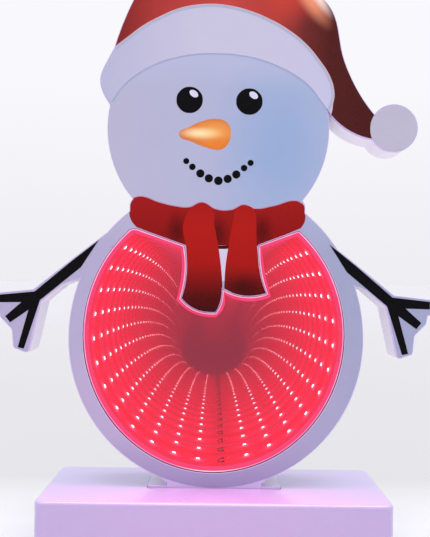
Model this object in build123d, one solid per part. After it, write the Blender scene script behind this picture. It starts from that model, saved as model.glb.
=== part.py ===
from build123d import *
import os
from math import sqrt

# Table-top snowman lamp: a flat, printed light box whose belly is an infinity
# mirror, plugged by its foot into a battery base.
# Millimetres. X to the right, Y to the back, Z up; origin under the middle of
# the base, at the level the rubber feet stand on.

# ---- driving sizes ---------------------------------------------------------
BASE_W = 218.0  # base width
BASE_D = 70.0  # base depth
BASE_TOP = 42.0  # height of the base's top face
FEET_H = 2.0  # rubber feet below the housing
BASE_WALL = 2.5
BASE_CORNER_R = 5.0
BASE_EDGE_R = 2.0

FIG_FRONT = -7.5  # front face of the figure
FIG_DEPTH = 22.5  # front face to the back of the shell
PANEL_T = 2.5  # front panel
SHELL_WALL = 2.0
FILM_T = 0.2  # printed film on the front panel

BELLY_Z, BELLY_RX, BELLY_DOWN, BELLY_UP = 138.5, 95.3, 96.5, 102.0
HEAD_Z, HEAD_R = 274.5, 71.7
POM_X, POM_Z, POM_R = 113.5, 276.2, 15.4
HAT_TOP = 395.5
ARM_SHIFT = (1.8, 0.6)  # the arms sit left of the middle, the right one lower
FINGER_REACH = 145.6
FOOT_HALF = 42.8  # half-width of the plug-in foot
FOOT_TOP = 43.2
FOOT_BOTTOM = 27.0

WIN_X, WIN_Z, WIN_RX, WIN_RZ, WIN_TOP = -1.5, 141.0, 84.7, 89.2, 209.4
PANE_T = 2.0
PANE_GAP = 0.4
MIRROR_SPACING = 25.5  # half mirror's back to the back mirror's face
MIRROR_T = 1.5
TAPE_T = 1.0
LEDGE = 3.2  # frame ledge seen inside the window
LEDGE_T = 1.5
FRAME_WALL = 1.8
LED_PITCH = 16.67
LED_SIZE = (3.5, 2.8, 0.8)
LED_LIFT = 0.02  # solder under each light
STRIP_W = 8.0
STRIP_T = 0.3
TUB_OUT = 4.0  # rear tub's outline beyond the window's

PLATE_T = 2.5  # plate that closes the base from below
HEAD_SEAT = 1.3  # how far its screws' heads are sunk
DOOR_PIN_R = 0.7
CELL_R, CELL_L = 7.25, 50.5  # AA cells
CELL_GAP = 0.5  # between one cell and the next
TRAY_WALL = 1.5  # battery box
TRAY_RIGHT = -33.4  # inner end of the battery box nearest the middle
TRAY_SPARE = 4.1  # the box's length beyond the cells, for springs and plates
CONTACT_T = 0.4

FIG_BACK = FIG_FRONT + FIG_DEPTH
PANEL_BACK = FIG_FRONT + PANEL_T
MIRROR_FACE = PANEL_BACK + MIRROR_SPACING
TUB_IN = MIRROR_FACE + MIRROR_T + TAPE_T
TUB_BACK = TUB_IN + SHELL_WALL
FIG_MID = (FIG_FRONT + FIG_BACK) / 2
STRIP_Y = (PANEL_BACK + 8.3, PANEL_BACK + 8.3 + STRIP_W)
JOINT_X = 5.9  # where the strip's two ends meet, at the bottom of the loop
STRIP_TOP = 203.0  # the strip stops short of the flat top
WELL_FLOOR = FOOT_BOTTOM - 2.0
PLATE_TOP = FEET_H + PLATE_T
BACK_WALL = BASE_D / 2 - BASE_WALL  # inner face of the base's back wall

CELL_PITCH = 2 * CELL_R + CELL_GAP
CELL_Z = PLATE_TOP + 0.9 + CELL_R
CELL_ROWS = ((-CELL_PITCH, 1), (0.0, -1), (CELL_PITCH, 1))  # y, and the way the tip points
TRAY_LEFT = TRAY_RIGHT - CELL_L - TRAY_SPARE
TRAY_HALF = 1.5 * CELL_PITCH
TRAY_ROOF = CELL_Z + CELL_R + 0.6
CELL_MID = (TRAY_LEFT + TRAY_RIGHT) / 2 - 0.2
DOOR_AXIS = (TRAY_LEFT - 4.0, 3.6)  # battery door hinge, x and z


# ---- helpers ---------------------------------------------------------------
def upright(face, y0, y1):
    """A face drawn in X and Z, made solid from y0 back to y1."""
    return extrude(Plane.XZ.offset(-y1) * face, amount=y1 - y0)


def block(x0, x1, y0, y1, z0, z1):
    return Pos((x0 + x1) / 2, (y0 + y1) / 2, (z0 + z1) / 2) * Box(
        x1 - x0, y1 - y0, z1 - z0
    )


def rod_z(x, y, z0, z1, r):
    return Pos(x, y, (z0 + z1) / 2) * Cylinder(r, z1 - z0)


def rod_y(x, z, y0, y1, r):
    return Pos(x, (y0 + y1) / 2, z) * Rot(90, 0, 0) * Cylinder(r, y1 - y0)


def rod_x(y, z, x0, x1, r):
    return Pos((x0 + x1) / 2, y, z) * Rot(0, 90, 0) * Cylinder(r, x1 - x0)


def flat(x0, x1, z0, z1):
    return Pos((x0 + x1) / 2, (z0 + z1) / 2) * Rectangle(x1 - x0, z1 - z0)


def region(*edges):
    return make_face(Wire(list(edges)))


def disc(x, z, r):
    return Pos(x, z) * Circle(r)


# ---- outlines, drawn in X and Z -------------------------------------------
def belly_outline(d=0.0):
    """Upper and lower half ellipses that meet at the widest point."""
    low = Pos(0, BELLY_Z) * Ellipse(BELLY_RX + d, BELLY_DOWN + d)
    high = Pos(0, BELLY_Z) * Ellipse(BELLY_RX + d, BELLY_UP + d)
    return (low & flat(-150, 150, 0, BELLY_Z)) + (high & flat(-150, 150, BELLY_Z, 300))


def hat_outline(d=0.0):
    """Santa hat: brim end on the left, dome, and the tail that falls to the right."""
    start, shoulder = (-69.4 - 0.8 * d, 288 - 0.6 * d), (-67.9 - d, 326)
    brow_l, brow_r = (-56 - 0.9 * d, 356.7), (67.7 + 0.9 * d, 358.2)
    tail_end, under_end = (100.8 + 0.6 * d, 285.0 + d), (71.0, 286.6 - 0.2 * d)
    edges = [
        *Spline(
            start, (-76.8 - d, 304), shoulder, tangents=[(-0.62, 0.78), (0.45, 0.9)]
        ).edges(),
        *Spline(shoulder, (-62.9 - d, 341), brow_l).edges(),
        *ThreePointArc(brow_l, (5.5, HAT_TOP + d), brow_r).edges(),
        *Spline(brow_r, (75.6 + d, 344.5), (79.4 + d, 325), (85.0 + d, 309.6), tail_end).edges(),
        *Polyline(tail_end, (112, 281), (112, 268.9 - d)).edges(),
        *Spline((112, 268.9 - d), (99.7, 268.6 - d), (86, 273 - d), under_end).edges(),
        *Polyline(under_end, (55, 270), (-55, 270), start).edges(),
    ]
    return make_face(Wire(edges))


def arm_outline(side, d=0.0):
    """A stick arm with its pale margin and three fingers; the pair sits a little to the left."""
    pts = [
        (60, 213.0), (91.1, 189), (116.6, 168.6), (138.0, 166.3), (138.6, 155.6), (137.6, 150.2),
        (130.2, 142.6), (129.0, 130.6), (119.4, 127.2), (112, 160.5), (98.6, 171.7), (60, 186),
    ]
    pts = [(side * x - ARM_SHIFT[0], z - side * ARM_SHIFT[1]) for x, z in pts]
    reach = side * FINGER_REACH
    tip = [(reach, 165.6 - side * ARM_SHIFT[1]), (reach, 157.4 - side * ARM_SHIFT[1])]
    face = make_face(Polyline(*pts[:4], *tip, *pts[4:], close=True))
    # only the hand's corners are rounded, and not the two where a finger leaves it
    corners = [v for v in face.vertices() if abs(v.X) > 110 and abs(abs(v.X) - 138) > 2.4]
    face = fillet(corners, 1.8)
    return offset(face, amount=d, kind=Kind.ARC) if d else face


def scarf_ends(d=0.0):
    return Pos(0, 220) * RectangleRounded(2 * (56.8 + d), 21 + 2 * d, 6.5)


def foot_web(d=0.0):
    """Filling under the belly, with a round relief at each side."""
    web = flat(-35.4, 35.4, FOOT_BOTTOM + 4, FOOT_TOP + 5.7)
    for s in (-1, 1):
        web -= disc(s * 35.4, FOOT_TOP + 2.7, 2.7 - d)
        web -= flat(s * 35.4 - 5 + d, s * 35.4 + 5 - d, FOOT_BOTTOM, FOOT_TOP + 2.7 - d)
    return web


def figure(d, y0, y1):
    """The whole figure as a plate; d grows its outline, or shrinks it if negative."""
    outlines = [
        scarf_ends(d),
        disc(0, HEAD_Z, HEAD_R + d),
        hat_outline(d),
        disc(POM_X, POM_Z, POM_R + d),
        flat(-FOOT_HALF - d, FOOT_HALF + d, FOOT_BOTTOM - d, FOOT_TOP + d),
        foot_web(d),
        arm_outline(1, d),
        arm_outline(-1, d),
    ]
    body = upright(belly_outline(d), y0, y1)
    for outline in outlines:
        body += upright(outline, y0, y1)
    return body


def opening(d=0.0):
    """Belly opening without the scarf: an ellipse with a flat top."""
    face = Pos(WIN_X, WIN_Z) * Ellipse(WIN_RX + d, WIN_RZ + d)
    face &= flat(-150, 150, 0, WIN_TOP + d)
    corners = face.vertices().sort_by(Axis.Y)[-2:]
    return fillet(corners, 4.0 + 0.5 * d)


def scarf_tails(d=0.0):
    """The two scarf tails that hang over the opening's top; d widens them."""
    top_l, top_r = (-51.8 - 0.33 * d, 209.4 - 0.95 * d), (53.6 + 0.36 * d, 209.6 - 0.94 * d)
    neck_l, neck_r = (-21.2 - 0.7 * d, 198.9 - 0.7 * d), (27 + 0.7 * d, 199.5 - 0.7 * d)
    low_l, low_mid, low_r = (-22.8 - d, 164.4 - 0.4 * d), (-0.2, 155.6 - d), (32.4 + d, 168.2 - 0.7 * d)
    fork = (3.6 + 0.5 * d, 171.2 - 1.2 * d)
    return make_face(
        Wire(
            [
                *Polyline(neck_r, top_r, (58, 216), (-56, 216), top_l, neck_l).edges(),
                *Spline(neck_l, (-19.5 - d, 184), (-20.8 - d, 172), low_l).edges(),
                *Spline(low_l, (-14, 157.6 - d), low_mid).edges(),
                *Spline(low_mid, (2.4 + d, 161), fork).edges(),
                *Spline(fork, (16, 166.6 - d), low_r).edges(),
                *Spline(low_r, (28.6 + d, 180), neck_r).edges(),
            ]
        )
    )


def window(d=0.0):
    """The opening as cut in the front panel; d shrinks it all round if negative."""
    return opening(d) - scarf_tails(-d)


# ---- the figure ------------------------------------------------------------
SCREW_SPOTS = [(-36, 338), (38, 338), (-60, 262), (60, 258), (-16, 36), (16, 36)]
FOOT_SCREWS = [(-25, FIG_MID), (25, FIG_MID)]
CABLE_R = 4.0  # hole for the lights' leads, in the foot and in the slot's floor


def front_panel():
    """Plate with the belly opening, and a post behind it for each screw."""
    body = figure(0, FIG_FRONT, PANEL_BACK) - upright(window(), FIG_FRONT, PANEL_BACK)
    for x, z in SCREW_SPOTS:
        body += rod_y(x, z, PANEL_BACK - 0.5, 3.0, 3.0)
        body -= rod_y(x, z, -3.5, 3.0, 1.3)
    return body


def face_film():
    """Printed film, just inside the plate's edge; low down it follows the belly and leaves the foot bare."""
    y0, y1 = FIG_FRONT - FILM_T, FIG_FRONT
    film = figure(-0.5, y0, y1) - block(-60, 60, y0 - 1, y1 + 1, 0, 52)
    film += upright(belly_outline(-0.5) & flat(-60, 60, 0, 52), y0, y1)
    return film - upright(window(0.4), y0, y1)


def rear_shell():
    """Hollow back half, with a tub over the mirrors and a post for each screw."""
    body = figure(0, PANEL_BACK, FIG_BACK)
    body -= figure(-SHELL_WALL, PANEL_BACK - 1, FIG_BACK - SHELL_WALL)
    body += upright(opening(TUB_OUT), FIG_BACK - SHELL_WALL, TUB_BACK)
    body -= upright(opening(TUB_OUT - SHELL_WALL), FIG_BACK - SHELL_WALL - 1, TUB_IN)
    for x, z in SCREW_SPOTS:
        body += rod_y(x, z, 3.0, FIG_BACK - SHELL_WALL + 0.5, 3.4)
        body -= rod_y(x, z, 3.0, FIG_BACK, 1.4)
        body -= rod_y(x, z, FIG_BACK - SHELL_WALL, FIG_BACK, 2.6)
    for x, y in FOOT_SCREWS:
        body += rod_z(x, y, FOOT_BOTTOM + SHELL_WALL - 0.5, 39.0, 3.4)
        body -= rod_z(x, y, FOOT_BOTTOM - 1, 37.0, 1.4)
    body -= rod_z(0, FIG_MID, FOOT_BOTTOM, FOOT_BOTTOM + SHELL_WALL, CABLE_R)
    return body


def half_mirror():
    return upright(window(-PANE_GAP), PANEL_BACK - PANE_T, PANEL_BACK)


def mirror_frame():
    """Ledge behind the pane's edge, scarf tails included, and the wall that carries the lights."""
    ledge_back = PANEL_BACK + LEDGE_T
    ledge = upright(opening(2.0), PANEL_BACK, ledge_back)
    ledge -= upright(window(-LEDGE), PANEL_BACK, ledge_back)
    wall = upright(opening(-LEDGE + FRAME_WALL), ledge_back, MIRROR_FACE)
    wall -= upright(opening(-LEDGE), ledge_back, MIRROR_FACE)
    cable_hole = block(JOINT_X - 4.8, JOINT_X + 4.8, STRIP_Y[1] - 0.3, STRIP_Y[1] + 1.6, 45, 62)
    return ledge + wall - cable_hole


def back_mirror():
    return upright(opening(1.4), MIRROR_FACE, MIRROR_FACE + MIRROR_T)


def mirror_tape():
    return upright(opening(1.0) - opening(-7.0), MIRROR_FACE + MIRROR_T, TUB_IN)


def led_strip():
    band = upright(opening(-LEDGE), *STRIP_Y) - upright(opening(-LEDGE - STRIP_T), *STRIP_Y)
    band -= block(-100, 100, STRIP_Y[0] - 1, STRIP_Y[1] + 1, STRIP_TOP, 215)
    return band - block(JOINT_X - 1.5, JOINT_X + 1.5, -20, 40, 40, 70)


def led_spots():
    """Place and direction along the strip of each light, counted both ways from the joint."""
    loop = opening(-LEDGE - STRIP_T).face().outer_wire()
    steps = 2000
    joint = Vector(JOINT_X, 50, 0)
    low = min(range(steps), key=lambda i: (loop.position_at(i / steps) - joint).length)
    spots = []
    for way in (-1, 1):
        for k in range(1, 20):
            t = (low / steps + way * k * LED_PITCH / loop.length) % 1.0
            p, q = loop.position_at(t), loop.tangent_at(t)
            if p.Y > STRIP_TOP - 2.0:
                break
            spots.append((p.X, p.Y, q.X, q.Y))
    return spots


def leds():
    wide, tall, high = LED_SIZE
    y = (STRIP_Y[0] + STRIP_Y[1]) / 2
    parts = []
    for x, z, tx, tz in led_spots():
        nx, nz = -tz, tx
        if (WIN_X - x) * nx + (WIN_Z - z) * nz < 0:
            nx, nz = -nx, -nz
        lift = high / 2 + LED_LIFT
        middle = (x + nx * lift, y, z + nz * lift)
        place = Plane(origin=middle, x_dir=(tx, 0, tz), z_dir=(nx, 0, nz))
        parts.append(place * Box(wide, tall, high - LED_LIFT))
    return Compound(children=parts)


def shell_screws():
    parts = []
    for x, z in SCREW_SPOTS:
        head = rod_y(x, z, FIG_BACK - SHELL_WALL, FIG_BACK - 0.5, 2.3)
        head -= Pos(x, FIG_BACK - 0.5, z) * Box(0.5, 1.2, 2.8)
        head -= Pos(x, FIG_BACK - 0.5, z) * Box(2.8, 1.2, 0.5)
        parts.append(head + rod_y(x, z, -2.0, FIG_BACK - SHELL_WALL, 1.25))
    return Compound(children=parts)


# ---- the base --------------------------------------------------------------
BOSSES = [(sx * (BASE_W / 2 - 9.5), sy * (BASE_D / 2 - 8.0)) for sx in (-1, 1) for sy in (-1, 1)]
BOARD_X = (48.0, 94.0)
BOARD_HALF_D = BACK_WALL - 6.5
BOARD_Z = (PLATE_TOP + 4.0, PLATE_TOP + 5.6)
BOARD_BOSSES = [(x, s * (BOARD_HALF_D - 4.0)) for x in (BOARD_X[0] + 6.0, BOARD_X[1] - 6.0) for s in (-1, 1)]
SLOT_FIT = 0.5  # clearance round the foot
SLOT = (FOOT_HALF + SLOT_FIT, FIG_FRONT - SLOT_FIT, FIG_BACK + SLOT_FIT)
SLOT_WALL = 2.0
SCREW_SHANK_R = 1.25
SWITCH_X, SWITCH_Z = 62.0, 16.0
SWITCH_TRAVEL = 6.0
JACK_X, JACK_Z = 80.0, 15.6


def base_housing():
    """Hollow box, open below, with the slot for the foot and a post in each corner."""
    half_d = BASE_D / 2
    inner_w, inner_d = BASE_W - 2 * BASE_WALL, BASE_D - 2 * BASE_WALL
    shell = Pos(0, 0, FEET_H) * RectangleRounded(BASE_W, BASE_D, BASE_CORNER_R)
    shell = extrude(shell, BASE_TOP - FEET_H)
    shell = fillet(shell.edges().group_by(Axis.Z)[-1], BASE_EDGE_R)
    hollow = Pos(0, 0, FEET_H - 1) * RectangleRounded(inner_w, inner_d, BASE_CORNER_R - BASE_WALL)
    shell -= extrude(hollow, BASE_TOP - BASE_WALL - FEET_H + 1)
    w, y0, y1 = SLOT
    t = SLOT_WALL
    shell += block(-w - t, w + t, y0 - t, y1 + t, WELL_FLOOR, BASE_TOP - 1)
    shell -= block(-w, w, y0, y1, FOOT_BOTTOM, BASE_TOP + 1)
    for x, y in FOOT_SCREWS:
        shell -= rod_z(x, y, WELL_FLOOR, FOOT_BOTTOM, 1.6)
    shell -= rod_z(0, FIG_MID, WELL_FLOOR, FOOT_BOTTOM, CABLE_R)
    for x, y in BOSSES:
        wall_y = (BACK_WALL + 0.2) * (1 if y > 0 else -1)
        shell += rod_z(x, y, PLATE_TOP, BASE_TOP - 1, 3.8)
        shell += block(x - 0.8, x + 0.8, min(y, wall_y), max(y, wall_y), 12, BASE_TOP - 1)
        shell -= rod_z(x, y, PLATE_TOP, PLATE_TOP + 12, SCREW_SHANK_R + 0.05)
    # pocket and slot for the switch, then the inlet's hole, all in the back wall
    shell -= Pos(SWITCH_X, half_d, SWITCH_Z) * Box(20, 2.0, 9)
    shell -= Pos(SWITCH_X, half_d - 1.5, SWITCH_Z) * Box(SWITCH_TRAVEL + 5.0, 4.0, 4.6)
    shell -= rod_y(JACK_X, JACK_Z, half_d - 4, half_d + 1, 4.2)
    return shell


def base_plate():
    """Screwed plate under the base, with the battery box and the board's posts on it."""
    wide, deep = BASE_W - 2 * BASE_WALL - 0.6, BASE_D - 2 * BASE_WALL - 0.6
    plate = Pos(0, 0, FEET_H) * RectangleRounded(wide, deep, BASE_CORNER_R - BASE_WALL - 0.3)
    plate = extrude(plate, PLATE_T)
    ax, az = DOOR_AXIS
    side, ear = TRAY_HALF + 1.1, TRAY_HALF + 2.9
    for s in (-1, 1):
        plate += block(ax - 2.6, ax + 2.4, min(s * side, s * ear), max(s * side, s * ear), FEET_H, 6.6)
    plate -= block(ax - 2.1, TRAY_RIGHT - 0.2, -side, side, FEET_H - 1, 4.4)
    plate -= block(ax - 2.1, ax + 2.1, -side, side, FEET_H - 1, 8)
    plate -= rod_y(ax, az, -ear, ear, DOOR_PIN_R + 0.35)
    # finger scoop beside the door's tab
    plate -= Pos(TRAY_RIGHT - 0.2, 0, FEET_H) * Cylinder(9, 2.6)
    for x, y in BOSSES:
        plate -= rod_z(x, y, FEET_H, PLATE_TOP, 1.6)
        plate -= rod_z(x, y, FEET_H, FEET_H + HEAD_SEAT, 2.9)
    for x, y in BOARD_BOSSES:
        plate += rod_z(x, y, PLATE_TOP - 0.5, BOARD_Z[0], 2.8)
        plate -= rod_z(x, y, PLATE_TOP - 1.0, BOARD_Z[0], 1.05)
    return plate + battery_box()


def battery_box():
    """Box over the cells, open below, ribbed between them, with a notch for the leads."""
    x0, x1, y1, t = TRAY_LEFT, TRAY_RIGHT, TRAY_HALF, TRAY_WALL
    box = block(x0 - t, x1 + t, -y1 - t, y1 + t, PLATE_TOP, TRAY_ROOF + t)
    box -= block(x0, x1, -y1, y1, PLATE_TOP - 1, TRAY_ROOF)
    box -= block(x1 - 0.1, x1 + t + 0.1, 17.6, 22.4, 7, 15)
    for y in (-CELL_PITCH / 2, CELL_PITCH / 2):
        box += block(x0, x1, y - 0.3, y + 0.3, TRAY_ROOF - 6.0, TRAY_ROOF + 0.5)
    return box


def battery_door():
    """Slab on two hinge pins, with a thumb tab and grip ridges at its free end."""
    ax, az = DOOR_AXIS
    half, free_end = TRAY_HALF + 0.7, TRAY_RIGHT - 0.8
    slab = block(ax + 0.4, free_end, -half, half, FEET_H, FEET_H + 2.0)
    slab += rod_y(ax, az, -half, half, 1.6)
    slab += rod_y(ax, az, -half - 2.0, half + 2.0, DOOR_PIN_R)
    # the slab's edge is cut back on both sides of the tab
    slab -= block(free_end - 2.2, free_end + 1.2, 8.0, half + 0.1, FEET_H - 1, FEET_H + 0.8)
    slab -= block(free_end - 2.2, free_end + 1.2, -half - 0.1, -8.0, FEET_H - 1, FEET_H + 0.8)
    for i in range(5):
        x = free_end - 9.8 + 1.6 * i
        slab -= block(x, x + 0.8, -6, 6, FEET_H, FEET_H + 0.4)
    return slab


def aa_cells():
    """Three cells, laid head to tail; the can stops short of the tip."""
    cells = []
    for y, s in CELL_ROWS:
        flat_end, shoulder, tip = (CELL_MID + s * k for k in (-CELL_L / 2, CELL_L / 2 - 1.2, CELL_L / 2))
        can = rod_x(y, CELL_Z, min(flat_end, shoulder), max(flat_end, shoulder), CELL_R)
        can = fillet(can.edges(), 0.8)
        inner = shoulder - s * 0.4
        can += rod_x(y, CELL_Z, min(inner, tip), max(inner, tip), 2.75)
        cells.append(can)
    return Compound(children=cells)


def contact_plates():
    """Nickel plates on the box's end walls."""
    parts = []
    for x in (TRAY_LEFT, TRAY_RIGHT - CONTACT_T):
        for y, _ in CELL_ROWS:
            parts.append(block(x, x + CONTACT_T, y - 6, y + 6, CELL_Z - 5, CELL_Z + 5))
    return Compound(children=parts)


def contact_springs():
    """A coil spring against the flat end of each cell, and a boss against each tip."""
    parts = []
    left, right = TRAY_LEFT + CONTACT_T, TRAY_RIGHT - CONTACT_T
    for y, s in CELL_ROWS:
        wall, other = (left, right) if s > 0 else (right, left)
        gap = abs(CELL_MID - s * CELL_L / 2 - wall)
        coil = Helix(pitch=gap / 3.2, height=gap - 0.8, radius=3.6)
        wire = sweep(Plane(origin=coil @ 0, z_dir=coil % 0) * Circle(0.28), path=coil, is_frenet=True)
        turn = Rot(0, s * 90, 0)
        parts.append(Pos(wall + s * 0.29, y, CELL_Z) * turn * wire)
        tip = CELL_MID + s * CELL_L / 2
        parts.append(rod_x(y, CELL_Z, min(tip, other), max(tip, other), 1.8))
    return Compound(children=parts)


def rubber_feet():
    """Two feet near the right end, and two beside the battery door's hinge."""
    right, left = BASE_W / 2 - 25.0, -BASE_W / 2 + 9.5
    places = [(x, s * y) for x, y in ((right, BASE_D / 2 - 8.0), (left, BASE_D / 2 - 16.5)) for s in (-1, 1)]
    feet = [rod_z(x, y, 0, FEET_H, 4.0) for x, y in places]
    return Compound(children=[fillet(f.edges().group_by(Axis.Z)[0], 0.6) for f in feet])


def pan_screw(x, y, z_head, head_r=2.6, head_h=1.2):
    """A cross-head screw driven upwards; its head is below z_head."""
    body = rod_z(x, y, z_head - head_h, z_head, head_r) + rod_z(x, y, z_head, z_head + 11.0, SCREW_SHANK_R)
    body -= Pos(x, y, z_head - head_h) * Box(3.0, 0.6, 1.0)
    body -= Pos(x, y, z_head - head_h) * Box(0.6, 3.0, 1.0)
    return body


def base_screws():
    return Compound(children=[pan_screw(x, y, FEET_H + HEAD_SEAT) for x, y in BOSSES])


def foot_screws():
    return Compound(children=[pan_screw(x, y, WELL_FLOOR, head_r=3.0, head_h=1.8) for x, y in FOOT_SCREWS])


def control_board():
    board = block(*BOARD_X, -BOARD_HALF_D, BOARD_HALF_D, *BOARD_Z)
    for x, y in BOARD_BOSSES:
        board -= rod_z(x, y, *BOARD_Z, 1.3)
    return board


def board_screws():
    parts = []
    top = BOARD_Z[1]
    for x, y in BOARD_BOSSES:
        body = rod_z(x, y, top, top + 1.4, 2.0) + rod_z(x, y, PLATE_TOP, top, 1.0)
        body -= Pos(x, y, top + 1.4) * Box(2.6, 0.5, 1.0)
        parts.append(body)
    return Compound(children=parts)


def board_parts():
    """Controller chip, resistors and a capacitor."""
    top = BOARD_Z[1]
    parts = [block(66, 74, -6, 0, top, top + 1.6)]
    for i in range(8):
        x = 66.6 + 0.95 * i
        parts.append(block(x, x + 0.4, -7.2, -6.0, top, top + 0.5))
        parts.append(block(x, x + 0.4, 0.0, 1.2, top, top + 0.5))
    for i in range(4):
        parts.append(block(80, 83.2, -12 + 5 * i, -10.4 + 5 * i, top, top + 0.6))
    parts.append(rod_z(61, 12, top, top + 11.0, 3.2))
    return Compound(children=parts)


def slide_switch():
    """Switch body behind the back wall, open where its knob passes."""
    front = BACK_WALL - 5.9
    body = block(SWITCH_X - 8, SWITCH_X + 8, front, BACK_WALL, BOARD_Z[1], SWITCH_Z + 4.4)
    body -= block(SWITCH_X - 5.4, SWITCH_X + 5.4, front + 3.0, BACK_WALL + 1, SWITCH_Z - 2.2, SWITCH_Z + 2.2)
    for dx in (-4, 0, 4):
        body += block(SWITCH_X + dx - 0.4, SWITCH_X + dx + 0.4, front - 3.6, front, 12.0, 12.8)
    return body


def switch_knob():
    """Knob at the on end of its travel, the one nearest the battery box."""
    x = SWITCH_X - SWITCH_TRAVEL / 2
    outer = BACK_WALL + 2.1
    knob = block(x - 1.9, x + 1.9, outer - 4.6, outer, SWITCH_Z - 1.8, SWITCH_Z + 1.8)
    for dx in (-1.1, 0.0, 1.1):
        knob -= block(x + dx - 0.2, x + dx + 0.2, outer - 0.4, outer + 0.4, SWITCH_Z - 2, SWITCH_Z + 2)
    return knob


def power_inlet():
    """Barrel inlet for a 5.5 mm plug, with its centre pin."""
    y1 = BACK_WALL
    body = block(JACK_X - 4.5, JACK_X + 4.5, y1 - 12.0, y1, BOARD_Z[1], JACK_Z + 5.0)
    body -= rod_y(JACK_X, JACK_Z, y1 - 10.0, y1, 2.9)
    body += rod_y(JACK_X, JACK_Z, y1 - 10.5, y1 - 1.0, 1.0)
    return body


LEAD_R = 0.6


def lead(*points):
    """One insulated lead along a smooth path."""
    path = Spline(*points)
    return sweep(Plane(origin=path @ 0, z_dir=path % 0) * Circle(LEAD_R), path=path)


def battery_leads():
    """Two leads from the battery box to the board."""
    pad_z = BOARD_Z[1] + LEAD_R + 0.02
    plus = lead((-33.2, 19.4, 10.0), (-10, 23.9, 14.0), (25, 22.4, 17.0), (50.0, 19.4, pad_z))
    minus = lead((-33.2, 20.8, 12.2), (-10, 25.3, 14.0), (25, 23.8, 17.0), (50.0, 17.8, pad_z))
    return Compound(children=[plus, minus])


def led_leads():
    """Leads from the strip's two ends, out through the frame and the foot, to the board's plug."""
    parts = []
    rx, rz = WIN_RX - LEDGE, WIN_RZ - LEDGE
    y = STRIP_Y[1] + LEAD_R
    for s in (-1, 1):
        x = JOINT_X + s * 3.4
        z = WIN_Z - rz * sqrt(1 - ((x - WIN_X) / rx) ** 2) + STRIP_T
        parts.append(
            lead(
                (x, y, z), (x, y, z - 3.0), (0.8 * x, 9.6, 48.5), (s * 1.6, 4.2, 38.0),
                (s * 1.6, 3.75, 26.5), (6.0 + s * 1.2, 1.6, 18.5), (26.0, -9.0 + s * 1.3, 15.6),
                (42.0, -14.0 + s * 1.27, 15.6), (51.38, -14.0 + s * 1.27, 15.6),
            )
        )
    return Compound(children=parts)


def led_plug():
    """White two-way plug at the end of the lights' leads."""
    plug = block(51.4, 57.4, -17.0, -11.0, BOARD_Z[1] + 3.0, BOARD_Z[1] + 7.6)
    plug += block(51.4, 53.0, -16.0, -12.0, BOARD_Z[1] + 7.6, BOARD_Z[1] + 8.2)
    return plug


def led_socket():
    """Board header that takes the plug, with a wall behind it."""
    top = BOARD_Z[1]
    header = block(50.8, 58.6, -18.0, -10.0, top, top + 3.0)
    return header + block(57.4, 58.6, -18.0, -10.0, top, top + 7.6)


PARTS = {
    "front_panel": front_panel,
    "face_film": face_film,
    "rear_shell": rear_shell,
    "half_mirror": half_mirror,
    "mirror_frame": mirror_frame,
    "back_mirror": back_mirror,
    "mirror_tape": mirror_tape,
    "led_strip": led_strip,
    "leds": leds,
    "shell_screws": shell_screws,
    "base_housing": base_housing,
    "base_plate": base_plate,
    "battery_door": battery_door,
    "aa_cells": aa_cells,
    "contact_plates": contact_plates,
    "contact_springs": contact_springs,
    "rubber_feet": rubber_feet,
    "base_screws": base_screws,
    "foot_screws": foot_screws,
    "control_board": control_board,
    "board_screws": board_screws,
    "board_parts": board_parts,
    "slide_switch": slide_switch,
    "switch_knob": switch_knob,
    "power_inlet": power_inlet,
    "battery_leads": battery_leads,
    "led_leads": led_leads,
    "led_plug": led_plug,
    "led_socket": led_socket,
}

os.makedirs("parts", exist_ok=True)
for name, make in PARTS.items():
    solid = make()
    solid.label = name
    export_step(solid, f"parts/{name}.step")
    print(f"{name:16s} solids {len(solid.solids()):3d}  volume {solid.volume:10.1f}", flush=True)
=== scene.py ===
import math
import bmesh
import bpy
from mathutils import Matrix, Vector


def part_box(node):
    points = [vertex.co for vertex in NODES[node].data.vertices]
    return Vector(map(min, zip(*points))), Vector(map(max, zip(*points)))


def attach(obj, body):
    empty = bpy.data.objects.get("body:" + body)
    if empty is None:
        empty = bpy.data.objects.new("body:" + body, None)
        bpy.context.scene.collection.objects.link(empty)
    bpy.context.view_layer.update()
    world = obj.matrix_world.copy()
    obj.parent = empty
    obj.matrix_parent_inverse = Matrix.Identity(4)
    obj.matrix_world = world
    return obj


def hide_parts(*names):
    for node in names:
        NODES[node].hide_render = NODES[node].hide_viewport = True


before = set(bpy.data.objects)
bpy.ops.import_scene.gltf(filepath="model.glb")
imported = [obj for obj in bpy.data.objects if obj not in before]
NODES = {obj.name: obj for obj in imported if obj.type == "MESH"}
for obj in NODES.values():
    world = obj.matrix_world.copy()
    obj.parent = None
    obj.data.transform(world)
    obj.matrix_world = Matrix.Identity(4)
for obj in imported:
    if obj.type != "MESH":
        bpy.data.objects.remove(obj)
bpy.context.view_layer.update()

MM = 0.001
BODY = "body"
SCENE = bpy.context.scene

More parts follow.
